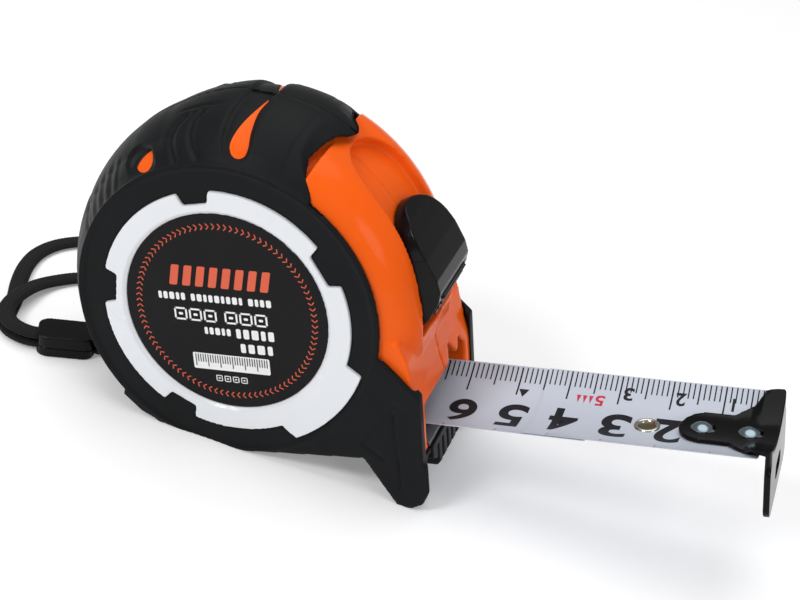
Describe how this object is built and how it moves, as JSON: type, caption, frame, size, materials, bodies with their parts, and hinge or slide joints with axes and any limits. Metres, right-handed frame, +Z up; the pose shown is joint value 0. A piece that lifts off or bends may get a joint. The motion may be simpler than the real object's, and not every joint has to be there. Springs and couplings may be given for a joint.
{
  "type": "tape measure",
  "caption": "Pocket tape measure: orange case in black rubber armour, thumb lock, sprung steel blade with end hook, belt clip and wrist cord.",
  "frame": {"origin": "the point of the heel's resting facet straight below the reel's axle, in the case's middle plane, on the surface that the tape stands on", "axes": "+X the way the blade pulls out, seen from above; +Y from the label that the picture shows towards the belt clip; +Z up from the resting surface"},
  "size_m": [0.1659, 0.0633, 0.067],
  "materials": {
    "orange_shell": "glossy moulded ABS",
    "armour_rubber": "matte over-moulded rubber",
    "white_bezel": "glossy",
    "label_black": "glossy printed film",
    "lock_black": "satin to glossy",
    "slider_plastic": "matte",
    "pad_rubber": "matte",
    "plate_steel": "brushed",
    "blade_lacquer": "white lacquer under clear nylon",
    "eyelet_brass": "nickelled brass",
    "hook_black": "gloss black",
    "rivet_steel": "bright",
    "reel_plastic": "matte",
    "spring_steel": "blued",
    "post_plastic": "matte",
    "screw_steel": "zinc plated",
    "clip_steel": "brushed",
    "cord_fabric": "braided"
  },
  "bodies": {
    "root": {"left_case": "orange_shell", "right_case": "orange_shell", "left_armour": "armour_rubber", "right_armour": "armour_rubber", "left_bezel": "white_bezel", "right_bezel": "white_bezel", "left_label": "label_black", "right_label": "label_black", "mouth_bumper": "armour_rubber", "mouth_plate": "plate_steel", "centre_post": "post_plastic", "post_screw": "screw_steel", "case_screws": "screw_steel", "belt_clip": "clip_steel", "clip_screw": "screw_steel", "cord_anchor": "lock_black", "connector_base": "lock_black", "connector_top": "lock_black", "wrist_cord": "cord_fabric"},
    "blade": {"blade_front": "blade_lacquer", "blade_eyelet": "eyelet_brass", "hook_rivets": "rivet_steel"},
    "blade_feed": {"blade_rear": "blade_lacquer"},
    "hook": {"end_hook": "hook_black"},
    "reel": {"blade_coil": "blade_lacquer", "reel_drum": "reel_plastic", "reel_cover": "reel_plastic", "mainspring": "spring_steel"},
    "lock": {"lock_button": "lock_black", "lock_slider": "slider_plastic", "brake_pad": "pad_rubber"}
  },
  "joints": [
    {"name": "blade_pull", "type": "slide", "parent": "root", "child": "blade", "axis": [0.9688, 0, 0.248], "range_m": [-0.06, 0]},
    {"name": "blade_follow", "type": "slide", "parent": "root", "child": "blade_feed", "axis": [0.9688, 0, 0.248], "range_m": [-0.0301, 0.0001]},
    {"name": "reel_spin", "type": "hinge", "parent": "root", "child": "reel", "pos_m": [0, 0, 0.029], "axis": [0, 1, 0], "range_deg": [-0.5, 160.5]},
    {"name": "lock_slide", "type": "hinge", "parent": "root", "child": "lock", "pos_m": [0, 0, 0.029], "axis": [0, -1, 0], "range_deg": [0, 10]},
    {"name": "hook_play", "type": "slide", "parent": "blade", "child": "hook", "axis": [0.9688, 0, 0.248], "range_m": [-0.0012, 0]}
  ],
  "couplings": [
    {"joint": "blade_follow", "follows": "blade_pull", "ratio": 0.5},
    {"joint": "reel_spin", "follows": "blade_pull", "rad_per_m": -46.512}
  ]
}
